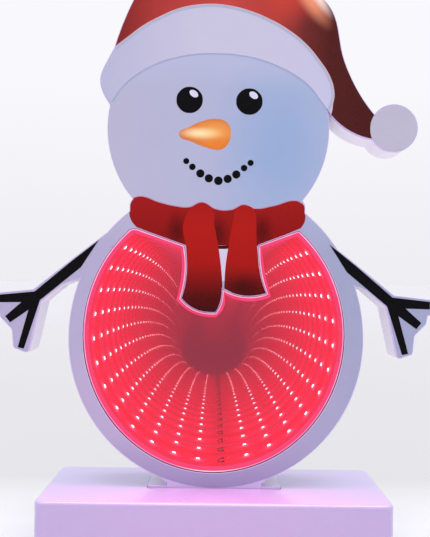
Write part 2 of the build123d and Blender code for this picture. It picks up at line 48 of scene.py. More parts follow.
# ---- sizes and strengths of the looks, in metres and degrees ------------------
INK_STEP = 0.00004  # thickness of one layer of ink
MIRROR_WEDGE = 0.30  # degrees between the two mirrors
LIP = 0.0020  # the mirror frame's ledge reaches this far past the opening
WALL_INSET = 0.0035  # from the opening's edge to the face of the strip
WALL_FRONT = 0.0016  # from the frame's front to the lit part of its wall
GLOW_REACH = 0.0034  # half-width of the glow round a light
LED_WINDOW = (0.00100, 0.00022, 0.00065)  # half sizes: along the strip, outwards, deep
LED_PROUD = 0.00058  # from a light's middle to its bright window
JOINT_X = 0.0059  # where the ends of the strip meet
WIRE_LOOP = [(0.0, -0.0036), (-0.0026, -0.0034), (-0.0036, 0.0), (-0.0026, 0.0034), (0.0, 0.0036)]
WIRE_HALF = 0.0002
BLOB_R = 0.0007
BEAD_INSET, BEAD_R = 0.00045, 0.00035  # bead of painted glow just inside the pane's edge
GAP_OUTSET, GAP_R = 0.0003, 0.0004  # dark line of painted shade just outside it
WALL_GLOW = 1.25
LED_STRENGTH = 5.0
HAZE_STRENGTH = 0.037  # painted glow standing in for light scattered on the inside of the half mirror
VEIL_STRENGTH = 0.027  # painted glow of the same scattered light, seen from outside

# ---- places taken from the frame -------------------------------------------
FILM_LOW, FILM_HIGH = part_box("face_film")
INK_Y = FILM_LOW.y  # front of the printed film
PANE_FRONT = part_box("half_mirror")[0].y
BACK_LOW, BACK_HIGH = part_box("back_mirror")
FRAME_LOW, FRAME_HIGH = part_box("mirror_frame")
LEDS_LOW, LEDS_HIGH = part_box("leds")

# ---- the belly opening, an ellipse with a flat top --------------------------
WIN_X = (FRAME_LOW.x + FRAME_HIGH.x) / 2
WIN_RX = (FRAME_HIGH.x - FRAME_LOW.x) / 2 - LIP
WIN_TOP = FRAME_HIGH.z - LIP
WIN_RZ = 0.0892
WIN_Z = FRAME_LOW.z + LIP + WIN_RZ


# ---- materials ---------------------------------------------------------------
def srgb(r, g, b):
    """An sRGB colour, 0 to 255, as linear values."""
    def one(v):
        v = v / 255.0
        return v / 12.92 if v <= 0.04045 else ((v + 0.055) / 1.055) ** 2.4
    return (one(r), one(g), one(b), 1.0)


def start(name):
    """An empty node material and its output."""
    mat = bpy.data.materials.new(name)
    mat.use_nodes = True
    nt = mat.node_tree
    nt.nodes.clear()
    out = nt.nodes.new("ShaderNodeOutputMaterial")
    return mat, nt, out


def link(nt, a, b):
    nt.links.new(a, b)


def coords(nt):
    return nt.nodes.new("ShaderNodeTexCoord").outputs["Object"]


def ramp(nt, fac, stops):
    """Colours by position, each stop a position and a colour."""
    node = nt.nodes.new("ShaderNodeValToRGB")
    els = node.color_ramp.elements
    while len(els) < len(stops):
        els.new(0.5)
    for el, (pos, col) in zip(els, stops):
        el.position = pos
        el.color = col
    link(nt, fac, node.inputs["Fac"])
    return node.outputs["Color"]


def noise(nt, scale):
    node = nt.nodes.new("ShaderNodeTexNoise")
    node.inputs["Scale"].default_value = scale
    link(nt, coords(nt), node.inputs["Vector"])
    return node.outputs["Fac"]


def along(nt, axis, low, high):
    """0 at low and 1 at high along an axis of the object, clamped."""
    sep = nt.nodes.new("ShaderNodeSeparateXYZ")
    link(nt, coords(nt), sep.inputs[0])
    node = nt.nodes.new("ShaderNodeMapRange")
    node.inputs["From Min"].default_value = low
    node.inputs["From Max"].default_value = high
    link(nt, sep.outputs[axis], node.inputs["Value"])
    return node.outputs["Result"]


def mix(nt, fac, a, b):
    """Colour a where fac is 0 and colour b where it is 1; each is a constant or a socket."""
    node = nt.nodes.new("ShaderNodeMix")
    node.data_type = "RGBA"
    if isinstance(fac, float):
        node.inputs["Factor"].default_value = fac
    else:
        link(nt, fac, node.inputs["Factor"])
    for socket, value in ((node.inputs[6], a), (node.inputs[7], b)):
        if isinstance(value, tuple):
            socket.default_value = value
        else:
            link(nt, value, socket)
    return node.outputs[2]


def spot(nt, x, z, rx, rz, tilt=0.0):
    """Soft spot on the figure's front, 1 in the middle and 0 at its edge; sizes in mm."""
    mapping = nt.nodes.new("ShaderNodeMapping")
    mapping.vector_type = "TEXTURE"
    mapping.inputs["Location"].default_value = (x * MM, 0.0, z * MM)
    mapping.inputs["Rotation"].default_value = (0.0, -tilt, 0.0)
    mapping.inputs["Scale"].default_value = (rx * MM, 1.0, rz * MM)
    link(nt, coords(nt), mapping.inputs["Vector"])
    node = nt.nodes.new("ShaderNodeTexGradient")
    node.gradient_type = "SPHERICAL"
    link(nt, mapping.outputs["Vector"], node.inputs["Vector"])
    soft = nt.nodes.new("ShaderNodeMapRange")
    soft.interpolation_type = "SMOOTHSTEP"
    link(nt, node.outputs["Fac"], soft.inputs["Value"])
    return soft.outputs["Result"]


def shade(c, k):
    """A colour made darker or lighter."""
    return (c[0] * k, c[1] * k, c[2] * k, 1.0)


def blotches(nt, scale, low, high):
    """Two colours in soft blotches; a larger scale makes them finer."""
    return ramp(nt, noise(nt, scale), [(0.3, low), (0.7, high)])


def grainy(nt, scale, colour, spread):
    """One colour with a grain that much darker and lighter."""
    return blotches(nt, scale, shade(colour, 1 - spread), shade(colour, 1 + spread))


def fleck(nt, scale, colour, amount, flecks):
    """A colour socket with faint flecks of another colour."""
    return mix(nt, noise(nt, scale), colour, mix(nt, amount, colour, flecks))


def node_of(nt, kind, **values):
    """A shader node with some inputs set; its names have _ for a space."""
    node = nt.nodes.new(kind)
    for name, value in values.items():
        node.inputs[name.replace("_", " ")].default_value = value
    return node


def blend(nt, fac, a, b):
    """Shader a where fac is 0 and shader b where it is 1."""
    node = nt.nodes.new("ShaderNodeMixShader")
    for socket, source in zip(node.inputs, (fac, a, b)):
        link(nt, source, socket)
    return node.outputs[0]


def plus(nt, a, b):
    node = nt.nodes.new("ShaderNodeAddShader")
    link(nt, a, node.inputs[0])
    link(nt, b, node.inputs[1])
    return node.outputs[0]


def solid(name, colour, rough=0.45, metallic=0.0, grain=300.0, spread=0.06, bump=0.0, coat=0.0):
    """A material with a fine grain in its colour and, where asked, in its surface."""
    mat, nt, out = start(name)
    p = node_of(nt, "ShaderNodeBsdfPrincipled", Roughness=rough, Metallic=metallic,
                Coat_Weight=coat, Coat_Roughness=0.12)
    link(nt, grainy(nt, grain, colour, spread), p.inputs["Base Color"])
    if bump:
        b = node_of(nt, "ShaderNodeBump", Strength=bump, Distance=0.0002)
        link(nt, noise(nt, grain), b.inputs["Height"])
        link(nt, b.outputs["Normal"], p.inputs["Normal"])
    link(nt, p.outputs[0], out.inputs["Surface"])
    return mat


def printed(name, colour_of, rough=0.45):
    """A printed colour with little shine: colour_of(nt) gives its colour socket."""
    mat, nt, out = start(name)
    p = node_of(nt, "ShaderNodeBsdfPrincipled", Roughness=rough, Specular_IOR_Level=0.05)
    link(nt, colour_of(nt), p.inputs["Base Color"])
    link(nt, p.outputs[0], out.inputs["Surface"])
    return mat


def flat_print(name, colour):
    """An even printed colour with a faint grain."""
    return printed(name, lambda nt: grainy(nt, 300.0, colour, 0.03))


def emission(name, colour_of, strength=1.0):
    """A colour that gives its own light: colour_of(nt) gives its colour socket."""
    mat, nt, out = start(name)
    e = node_of(nt, "ShaderNodeEmission", Strength=strength)
    link(nt, colour_of(nt), e.inputs["Color"])
    link(nt, e.outputs[0], out.inputs["Surface"])
    return mat


def wear(node_name, mat):
    """Gives a CAD node's object one material."""
    slots = NODES[node_name].data.materials
    slots.clear()
    slots.append(mat)


# ---- pieces ------------------------------------------------------------------
def add_piece(name, mesh, mat):
    """Adds a mesh to the scene as a piece of the main body."""
    mesh.name = name
    mesh.materials.clear()
    mesh.materials.append(mat)
    obj = bpy.data.objects.new(name, mesh)
    SCENE.collection.objects.link(obj)
    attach(obj, BODY)
    return obj


def made_mesh(obj):
    """The mesh an object makes with its curve or modifiers applied; the object itself goes."""
    bpy.context.view_layer.update()
    dg = bpy.context.evaluated_depsgraph_get()
    mesh = bpy.data.meshes.new_from_object(obj.evaluated_get(dg))
    bpy.data.objects.remove(obj)
    return mesh


# ---- light box ------------------------------------------------------------------
def film_colour(nt):
    """Lavender print, light blue on the right of the head and darker at the belly's foot."""
    belly = mix(nt, along(nt, "X", -0.080, 0.080), srgb(172, 167, 198), srgb(153, 160, 190))
    belly = mix(nt, along(nt, "Z", 0.075, 0.045), belly, srgb(152, 144, 182))
    head = mix(nt, along(nt, "X", -0.060, 0.030), srgb(179, 178, 203), srgb(169, 178, 208))
    head = mix(nt, spot(nt, 40, 262, 54, 84), head, srgb(144, 169, 206))
    base = mix(nt, along(nt, "Z", 0.195, 0.225), belly, head)
    edge = mix(nt, along(nt, "Z", 0.300, 0.330), base, srgb(182, 188, 217))
    return fleck(nt, 60.0, edge, 0.12, srgb(200, 202, 224))


wear("face_film", printed("film_print", film_colour))
wear("front_panel", solid("panel_plastic", srgb(204, 190, 230), rough=0.35, spread=0.01))
wear("rear_shell", solid("shell_plastic", srgb(232, 230, 240), rough=0.4, spread=0.015, bump=0.02))
wear("base_housing", solid("base_plastic", srgb(176, 166, 210), rough=0.3, spread=0.01, coat=1.0))
wear("base_plate", solid("plate_plastic", srgb(200, 180, 228), rough=0.45, spread=0.02, bump=0.03))
wear("battery_door", solid("door_plastic", srgb(202, 182, 230), rough=0.45, spread=0.02, bump=0.03))
wear("mirror_tape", solid("foam", srgb(40, 40, 44), rough=0.9, bump=0.4, grain=2500))
wear("aa_cells", solid("cell_sleeve", srgb(60, 74, 92), rough=0.3))
wear("contact_plates", solid("nickel_plate", srgb(200, 196, 188), rough=0.25, metallic=1.0))
wear("contact_springs", solid("nickel_wire", srgb(205, 202, 196), rough=0.22, metallic=1.0))
wear("rubber_feet", solid("foot_rubber", srgb(150, 150, 156), rough=0.8, bump=0.2, grain=1500))
for screws in ("base_screws", "foot_screws", "board_screws", "shell_screws"):
    wear(screws, solid(screws + "_steel", srgb(176, 176, 180), rough=0.28, metallic=1.0))
wear("control_board", solid("solder_mask", srgb(24, 96, 52), rough=0.35))
wear("board_parts", solid("chip_black", srgb(30, 30, 33), rough=0.5))
wear("slide_switch", solid("switch_steel", srgb(180, 180, 184), rough=0.3, metallic=1.0))
wear("switch_knob", solid("knob_black", srgb(34, 34, 37), rough=0.45))
wear("power_inlet", solid("inlet_black", srgb(30, 30, 33), rough=0.42))
wear("battery_leads", solid("lead_red", srgb(150, 28, 26), rough=0.45))
wear("led_leads", solid("lead_white", srgb(215, 212, 208), rough=0.45))
wear("led_plug", solid("plug_ivory", srgb(226, 220, 204), rough=0.4))
wear("led_socket", solid("socket_ivory", srgb(220, 214, 198), rough=0.4))


# ---- infinity mirror ---------------------------------------------------------------
def lit_frame(nt):
    """Painted red glow of the lights on the ledge and wall, brightest at the front edge."""
    deep = along(nt, "Y", FRAME_LOW.y, FRAME_HIGH.y)
    col = ramp(nt, deep, [(0.0, srgb(255, 52, 116)), (0.03, srgb(250, 46, 100)),
                          (0.07, srgb(232, 30, 70)), (1.0, srgb(226, 20, 56))])
    return fleck(nt, 90.0, col, 0.15, srgb(255, 110, 140))


wear("mirror_frame", emission("frame_red_lit", lit_frame))


def led_light(nt):
    return blotches(nt, 40.0, srgb(255, 214, 224), srgb(255, 236, 240))


def package_light(nt):
    return blotches(nt, 40.0, srgb(255, 110, 130), srgb(255, 132, 150))


wear("leds", emission("led_package", package_light))


def back_glass():
    mat, nt, out = start("back_silvering")
    mirror = node_of(nt, "ShaderNodeBsdfGlossy", Roughness=0.0)
    tint = blotches(nt, 12.0, (0.943, 0.885, 0.890, 1), (0.947, 0.895, 0.900, 1))
    link(nt, tint, mirror.inputs["Color"])
    link(nt, mirror.outputs[0], out.inputs["Surface"])
    return mat


def back_silver():
    """Back mirror, pinched a little closer to the front at its foot by the foam behind it."""
    mesh = NODES["back_mirror"].data.copy()
    middle = (BACK_LOW.z + BACK_HIGH.z) / 2
    for v in mesh.vertices:
        v.co.y += (v.co.z - middle) * math.tan(math.radians(MIRROR_WEDGE))
    obj = add_piece("back_silver", mesh, back_glass())
    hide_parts("back_mirror")


back_silver()


def half_glass():
    """Half mirror: seen through from outside, and a mirror to light inside the box."""
    mat, nt, out = start("half_silvering")
    inside = node_of(nt, "ShaderNodeBsdfGlossy", Roughness=0.0)
    tint = blotches(nt, 12.0, (0.930, 0.875, 0.875, 1), (0.934, 0.885, 0.885, 1))
    link(nt, tint, inside.inputs["Color"])
    clear = node_of(nt, "ShaderNodeBsdfTransparent", Color=(0.97, 0.93, 0.94, 1))
    sheen = node_of(nt, "ShaderNodeBsdfGlossy", Roughness=0.03, Color=(0.35, 0.35, 0.36, 1))
    # haze and veil are painted glow: emission standing in for the lights' light scattered in the pane, inside
    # and seen from outside
    haze = node_of(nt, "ShaderNodeEmission", Color=srgb(255, 50, 110), Strength=HAZE_STRENGTH)
    veil = node_of(nt, "ShaderNodeEmission", Color=srgb(255, 190, 215), Strength=VEIL_STRENGTH)
    fresnel = node_of(nt, "ShaderNodeFresnel", IOR=1.45)
    path = nt.nodes.new("ShaderNodeLightPath")
    front = blend(nt, fresnel.outputs[0], clear.outputs[0], sheen.outputs[0])
    veiled = plus(nt, front, veil.outputs[0])
    misty = plus(nt, inside.outputs[0], haze.outputs[0])
    link(nt, blend(nt, path.outputs["Is Camera Ray"], misty, veiled), out.inputs["Surface"])
    return mat


wear("half_mirror", half_glass())


def opening_point(angle, shrink):
    """Point on the opening's outline, shrunk inwards, at an angle about its centre."""
    rx, rz, top = WIN_RX - shrink, WIN_RZ - shrink, WIN_TOP - shrink
    x, z = rx * math.cos(angle), rz * math.sin(angle)
    if WIN_Z + z > top:
        x, z = x * (top - WIN_Z) / z, top - WIN_Z
    return Vector((WIN_X + x, 0.0, WIN_Z + z))


def island_centres(obj):
    """Middle of each separate solid in a CAD node's mesh."""
    bm = bmesh.new()
    bm.from_mesh(obj.data)
    bmesh.ops.remove_doubles(bm, verts=bm.verts, dist=1e-6)
    seen, centres = set(), []
    for v in bm.verts:
        if v in seen:
            continue
        group, todo = [], [v]
        seen.add(v)
        while todo:
            here = todo.pop()
            group.append(here.co.copy())
            for edge in here.link_edges:
                other = edge.other_vert(here)
                if other not in seen:
                    seen.add(other)
                    todo.append(other)
        low = Vector([min(c[i] for c in group) for i in range(3)])
        high = Vector([max(c[i] for c in group) for i in range(3)])
        centres.append((low + high) / 2)
    bm.free()
    return centres


LIGHTS = island_centres(NODES["leds"])


def wall_red(nt):
    """Painted glow of the lights on the wall: deep red between the lights, pink beside them."""
    glow = nt.nodes.new("ShaderNodeAttribute")
    glow.attribute_name = "glow"
    return ramp(nt, glow.outputs["Fac"], [
        (0.0, srgb(214, 6, 40)), (0.03, srgb(240, 8, 48)), (0.10, srgb(252, 14, 60)),
        (0.45, srgb(255, 50, 95)), (0.9, srgb(255, 112, 146))])


def glow_at(place):
    """Light that all the lights together throw on a point of the wall."""
    return sum(1.0 / (1.0 + ((place - c).length / GLOW_REACH) ** 2) ** 1.5 for c in LIGHTS)


def lit_wall():
    """Inner wall with the painted glow of each light on it, as a colour attribute."""
    around, deep = 720, 24
    front, back = FRAME_LOW.y + WALL_FRONT, FRAME_HIGH.y - 0.0001
    verts, faces = [], []
    for j in range(deep + 1):
        y = front + (back - front) * j / deep
        for i in range(around):
            p = opening_point(2 * math.pi * i / around, WALL_INSET + 0.00001)
            verts.append(Vector((p.x, y, p.z)))
    for j in range(deep):
        for i in range(around):
            a, b = j * around + i, j * around + (i + 1) % around
            faces.append((a, b, b + around, a + around))
    mesh = bpy.data.meshes.new("lit_wall")
    mesh.from_pydata(verts, [], faces)
    glow = mesh.color_attributes.new("glow", "FLOAT_COLOR", "POINT")
    for point, place in zip(glow.data, verts):
        point.color = (glow_at(place),) * 3 + (1.0,)
    obj = add_piece("lit_wall", mesh, emission("wall_glow", wall_red, WALL_GLOW))
    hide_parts("led_strip")


lit_wall()


def box_at(centre, axes, half):
    """Corners and faces of a box on three unit axes."""
    verts = []
    for i in (-1, 1):
        for j in (-1, 1):
            for k in (-1, 1):
                verts.append(centre + axes[0] * half[0] * i + axes[1] * half[1] * j + axes[2] * half[2] * k)
    faces = [(0, 1, 3, 2), (4, 6, 7, 5), (0, 4, 5, 1), (2, 3, 7, 6), (0, 2, 6, 4), (1, 5, 7, 3)]
    return verts, faces


def led_windows():
    """The bright window on the face of each light."""
    verts, faces = [], []
    depth = Vector((0, 1, 0))
    middle = Vector((WIN_X, 0, WIN_Z))
    for c in LIGHTS:
        angle = math.atan2((c.z - WIN_Z) / WIN_RZ, (c.x - WIN_X) / WIN_RX)
        run = opening_point(angle + 0.01, WALL_INSET) - opening_point(angle - 0.01, WALL_INSET)
        run.normalize()
        inward = run.cross(depth)
        if inward.dot(middle - Vector((c.x, 0, c.z))) < 0:
            inward = -inward
        v, f = box_at(c + inward * LED_PROUD, (run, inward, depth), LED_WINDOW)
        faces += [tuple(i + len(verts) for i in face) for face in f]
        verts += v
    mesh = bpy.data.meshes.new("led_windows")
    mesh.from_pydata(verts, [], faces)
    add_piece("led_windows", mesh, emission("led_lit", led_light, LED_STRENGTH))


led_windows()


def pane_outline():
    """The pane's front edge as an ordered loop of points, read from the CAD mesh."""
    bm = bmesh.new()
    bm.from_mesh(NODES["half_mirror"].data)
    bmesh.ops.remove_doubles(bm, verts=bm.verts, dist=1e-6)
    front = PANE_FRONT + 1e-6
    ends = {}
    for e in bm.edges:
        a, b = e.verts
        if a.co.y > front or b.co.y > front:
            continue
        facing = [f.normal.y < -0.9 for f in e.link_faces]
        if True in facing and False in facing:
            ends.setdefault(a, []).append(b)
            ends.setdefault(b, []).append(a)
    first = next(iter(ends))
    loop, last, here = [first], None, first
    while True:
        step = [v for v in ends[here] if v is not last]
        last, here = here, step[0]
        if here is first:
            break
        loop.append(here)
    points = [v.co.copy() for v in loop]
    bm.free()
    return points


def rim(name, points, inset, y, radius, mat):
    """A thin bead along a loop, moved inwards by inset."""
    curve = bpy.data.curves.new(name, "CURVE")
    curve.dimensions = "3D"
    curve.bevel_depth = radius
    curve.bevel_resolution = 2
    line = curve.splines.new("POLY")
    line.points.add(len(points) - 1)
    line.use_cyclic_u = True
    after = points[1:] + points[:1]
    turn = math.copysign(1.0, sum(p.x * q.z - q.x * p.z for p, q in zip(points, after)))
    for i, (p, q) in enumerate(zip(points, after)):
        run = q - points[i - 1]
        inward = Vector((-run.z, 0, run.x)).normalized() * turn
        place = p + inward * inset
        line.points[i].co = (place.x, y, place.z, 1.0)
    bead = bpy.data.objects.new(name + "_curve", curve)
    SCENE.collection.objects.link(bead)
    add_piece(name, made_mesh(bead), mat)


def edge_light(nt):
    """Painted glow of the lights along the pane's edge: pink, redder low down, with a painted highlight
    nearly white at the foot.
    """
    col = blotches(nt, 120.0, srgb(255, 165, 212), srgb(255, 200, 232))
    col = mix(nt, along(nt, "Z", 0.06, 0.20), mix(nt, 0.5, col, srgb(240, 70, 120)), col)
    return mix(nt, spot(nt, -2, 52, 34, 8), col, srgb(255, 226, 232))


def strip_joint():
    """Where the two ends of the strip meet at the foot: two solder blobs and a loop of wire."""
    bm = bmesh.new()
    strip_z = WIN_Z - WIN_RZ * math.sqrt(1 - ((JOINT_X - WIN_X) / WIN_RX) ** 2) + WALL_INSET + 0.0001
    middle = (LEDS_LOW.y + LEDS_HIGH.y) / 2
    up = Vector((0, 0, 1))
    loop = [Vector((JOINT_X + x, middle + y, strip_z)) for x, y in WIRE_LOOP]
    for end in (loop[0], loop[-1]):
        blob = bmesh.ops.create_uvsphere(bm, u_segments=12, v_segments=8, radius=BLOB_R)
        bmesh.ops.translate(bm, verts=blob["verts"], vec=end + 2 * WIRE_HALF * up)
    for a, b in zip(loop, loop[1:]):
        run = (b - a).normalized()
        half = ((b - a).length / 2 + WIRE_HALF, WIRE_HALF, WIRE_HALF)
        verts, faces = box_at((a + b) / 2, (run, run.cross(up), up), half)
        corners = [bm.verts.new(v) for v in verts]
        for f in faces:
            bm.faces.new([corners[i] for i in f])
    mesh = bpy.data.meshes.new("strip_joint")
    bm.to_mesh(mesh)
    bm.free()
    add_piece("strip_joint", mesh, solid("joint_dark", srgb(48, 8, 16), rough=0.6))


strip_joint()

OUTLINE = pane_outline()
rim("pane_edge_light", OUTLINE, BEAD_INSET, PANE_FRONT + 0.0001, BEAD_R,
    emission("pane_edge", edge_light))


def gap_colour(nt):
    """Painted shade in the gap round the pane: dark at the foot, pale where the overhead light reaches the
    gap.
    """
    return mix(nt, along(nt, "Z", 0.120, 0.170), srgb(28, 12, 16), srgb(150, 110, 140))


rim("pane_gap_dark", OUTLINE, -GAP_OUTSET, PANE_FRONT, GAP_R, printed("gap_dark", gap_colour))


# ---- printing --------------------------------------------------------------------
def outline_object(name, loops):
    """A flat filled 2D curve; a loop is a list of points in mm, sharp where marked."""
    curve = bpy.data.curves.new(name, "CURVE")
    curve.dimensions = "2D"
    curve.fill_mode = "BOTH"
    curve.resolution_u = 10
    for points in loops:
        sp = curve.splines.new("BEZIER")
        sp.bezier_points.add(len(points) - 1)
        sp.use_cyclic_u = True
        for bp, p in zip(sp.bezier_points, points):
            bp.co = (p[0] * MM, p[1] * MM, 0)
            kind = "VECTOR" if len(p) > 2 else "AUTO"
            bp.handle_left_type = bp.handle_right_type = kind
    obj = bpy.data.objects.new(name, curve)
    SCENE.collection.objects.link(obj)
    return obj


def trimmed(mesh, y):
    """The part of a printed layer, thickened through, that lies on the film; y is its middle."""
    film = bpy.data.objects.new("film_copy", NODES["face_film"].data.copy())
    SCENE.collection.objects.link(film)
    for v in film.data.vertices:
        near = v.co.y < (FILM_LOW.y + FILM_HIGH.y) / 2
        v.co.y = y - INK_STEP / 2 if near else y + INK_STEP / 2
    shape = bpy.data.objects.new("ink_shape", mesh)
    SCENE.collection.objects.link(shape)
    mod = film.modifiers.new("clip", "BOOLEAN")
    mod.operation = "INTERSECT"
    mod.solver = "EXACT"
    mod.object = shape
    cut = made_mesh(film)
    bpy.data.objects.remove(shape)
    return cut


def ink(name, loops, layer, mat, clip=False):
    """Prints loops on the film as a thin piece; clip trims it to the figure's edge."""
    shape = outline_object(name + "_curve", loops)
    shape.data.extrude = 0.002 if clip else INK_STEP / 2
    mesh = made_mesh(shape)
    y = INK_Y - INK_STEP * (layer + 0.5)
    for v in mesh.vertices:
        x, up, out = v.co
        v.co = (x, y - out, up)
    if clip:
        mesh = trimmed(mesh, y)
    add_piece(name, mesh, mat)


def ellipse(x, z, rx, rz, tilt=0.0):
    """Eight points of an ellipse about (x, z)."""
    c, s = math.cos(tilt), math.sin(tilt)
    turns = [math.pi * k / 4 for k in range(8)]
    ring = [(rx * math.cos(a), rz * math.sin(a)) for a in turns]
    return [(x + u * c - v * s, z + u * s + v * c) for u, v in ring]


def circle(x, z, r):
    return ellipse(x, z, r, r)


def ribbon(points, below, above):
    """Closed band about an open line: its edges lie so far to the line's right and left."""
    outer, inner = [], []
    for i, p in enumerate(points):
        a, b = points[max(i - 1, 0)], points[min(i + 1, len(points) - 1)]
        dx, dz = b[0] - a[0], b[1] - a[1]
        size = math.hypot(dx, dz)
        nx, nz = -dz / size, dx / size
        outer.append((p[0] + nx * above, p[1] + nz * above))
        inner.append((p[0] - nx * below, p[1] - nz * below))
    ends = [(*outer[0], 0), *outer[1:-1], (*outer[-1], 0)]
    return ends + [(*inner[-1], 0), *inner[-2:0:-1], (*inner[0], 0)]


BRIM_LOW = [
    (-68.9, 291.2), (-60.5, 302.5), (-50.9, 310.2), (-40.3, 315.9), (-29.7, 319.5), (-16.3, 322.1),
    (0, 322.8), (12.5, 322), (24.9, 319.7), (37.3, 315.5), (49.7, 309.2), (59.1, 301.9),
    (65.4, 293.9), (70.4, 287.2),
]
BRIM_HIGH = [
    (-67.7, 326), (-59.3, 332.5), (-49.2, 340.2), (-38, 346.4), (-27.4, 351.1), (-16.7, 353.7),
    (-3.3, 354.6), (5.9, 353.7), (18.3, 350.8), (30.7, 346), (43.2, 339.3), (55.7, 329.6),
    (65.1, 318.6), (71.4, 308.8), (74.2, 299.6), (74, 293.4), (71.6, 286.6),
]


def hat_red(nt):
    """Bright red in the middle, dark maroon at both sides, a highlight near the bend."""
    across = along(nt, "X", -0.085, 0.115)
    col = ramp(nt, across, [
        (0.0, srgb(96, 30, 30)), (0.09, srgb(118, 36, 36)), (0.22, srgb(168, 56, 54)),
        (0.45, srgb(194, 72, 68)), (0.62, srgb(160, 58, 56)), (0.70, srgb(104, 42, 42)),
        (0.78, srgb(72, 28, 28)), (1.0, srgb(56, 22, 22))])
    high = mix(nt, spot(nt, 44, 362, 34, 26, 0.5), col, srgb(196, 66, 56))
    high = mix(nt, spot(nt, 58, 359, 9, 27, 0.62), high, srgb(240, 152, 116))
    high = mix(nt, spot(nt, 62, 362, 5, 22, 0.62), high, srgb(255, 232, 222))
    return fleck(nt, 500.0, high, 0.06, srgb(214, 90, 70))


def brim_white(nt):
    """Pale fur band, bluer at its left end."""
    col = mix(nt, along(nt, "X", -0.072, -0.015), srgb(180, 180, 208), srgb(195, 193, 215))
    col = mix(nt, along(nt, "X", 0.030, 0.065), col, srgb(193, 192, 219))
    return fleck(nt, 70.0, col, 0.15, srgb(216, 212, 232))


def pom_grey(nt):
    return mix(nt, noise(nt, 90.0), srgb(183, 181, 200), srgb(187, 185, 204))


HAT_AREA = [
    (*BRIM_HIGH[0], 0), *BRIM_HIGH[1:-1], (72.8, 287.5, 0), (72.8, 262, 0), (102, 262, 0), (102, 284, 0),
    (120, 405, 0), (-95, 405, 0), (-82, 333, 0),
]
ink("hat_red", [HAT_AREA], 0, printed("hat_red", hat_red), clip=True)
BRIM_AREA = [
    (*BRIM_LOW[0], 0), *BRIM_LOW[1:-1], (*BRIM_LOW[-1], 0), (72.8, 284.5, 0), (73.5, 287.5, 0),
    *reversed(BRIM_HIGH[1:-1]), (*BRIM_HIGH[0], 0), (-90, 326, 0), (-90, 291, 0),
]
ink("brim_white", [BRIM_AREA], 1, printed("brim_white", brim_white), clip=True)
ink("brim_shade", [ribbon(BRIM_HIGH, 1.8, 0.0)], 2, flat_print("brim_shade", srgb(170, 181, 206)), clip=True)
ink("brim_line", [ribbon(BRIM_HIGH, 0.35, 0.35)], 3, flat_print("brim_line", srgb(208, 176, 184)), clip=True)
ink("brim_crease", [ribbon(BRIM_LOW, 0.4, 0.3)], 2, flat_print("brim_crease", srgb(160, 170, 205)), clip=True)
ink("pom_white", [circle(114.0, 275.6, 15.9)], 1, printed("pom_white", pom_grey), clip=True)


def ink_black(nt):
    return blotches(nt, 400.0, srgb(8, 8, 10), srgb(14, 13, 16))


black = printed("print_black", ink_black)
white = flat_print("print_highlight", srgb(214, 212, 232))
for side, x, z in (("left", -18.8, 292.7), ("right", 19.8, 292.1)):
    ink(f"eye_{side}", [circle(x, z, 8.5)], 0, black)
    ink(f"eye_light_{side}", [ellipse(x + 2.7, z + 4.1, 3.1, 2.0, -0.6)], 1, white)

MOUTH = [
    (-20.5, 253.2, 1.95), (-16.5, 249.5, 2.1), (-11.3, 245.3, 2.65), (-5.8, 242.2, 2.65),
    (0.4, 240.7, 2.75), (6.4, 242.0, 2.65), (11.9, 244.9, 2.65), (16.9, 249.1, 2.1),
    (21.1, 252.5, 1.95),
]
for n, (x, z, r) in enumerate(MOUTH):
    ink(f"mouth_{n + 1}", [circle(x, z, r)], 0, black)

NOSE = [
    (-25.3, 270.7), (-18.6, 275.3), (-9.8, 279.3), (-1, 280.7), (4.4, 279.2), (7.6, 275.1),
    (8, 270.7), (6.7, 265.4), (3.7, 261.8), (0.2, 260.7), (-7.8, 262.2), (-16.7, 265.6),
]


def carrot(nt):
    """Orange with a darker rim and a pale streak from the tip to the middle."""
    col = mix(nt, spot(nt, -3, 272, 24, 13), srgb(206, 100, 44), srgb(238, 160, 84))
    col = mix(nt, spot(nt, 0, 264, 16, 6, 0.2), col, srgb(226, 124, 40))
    col = mix(nt, spot(nt, -12, 271.3, 17, 5), col, srgb(252, 228, 172))
    return fleck(nt, 300.0, col, 0.1, srgb(250, 210, 140))


ink("nose", [NOSE], 0, printed("carrot", carrot))


def band_red(nt):
    """Scarf's neck band, shaded where the tails leave it and along its foot."""
    col = mix(nt, along(nt, "Z", 0.200, 0.226), srgb(128, 14, 15), srgb(150, 22, 22))
    for x, z in ((-26, 208), (29, 208), (0, 206)):
        col = mix(nt, spot(nt, x, z, 10, 16), col, srgb(84, 8, 12))
    return fleck(nt, 500.0, col, 0.12, srgb(186, 58, 50))


def tail_red(nt):
    """Scarf's tails, bright at the top and nearly black at the foot."""
    up = along(nt, "Z", 0.155, 0.232)
    col = ramp(nt, up, [
        (0.0, srgb(34, 6, 10)), (0.15, srgb(76, 10, 13)), (0.28, srgb(122, 16, 17)),
        (0.42, srgb(160, 22, 20)), (0.7, srgb(172, 26, 21)), (1.0, srgb(158, 25, 24))])
    col = mix(nt, spot(nt, 18, 171, 20, 13), col, srgb(56, 8, 10))
    return fleck(nt, 700.0, col, 0.12, srgb(170, 50, 40))


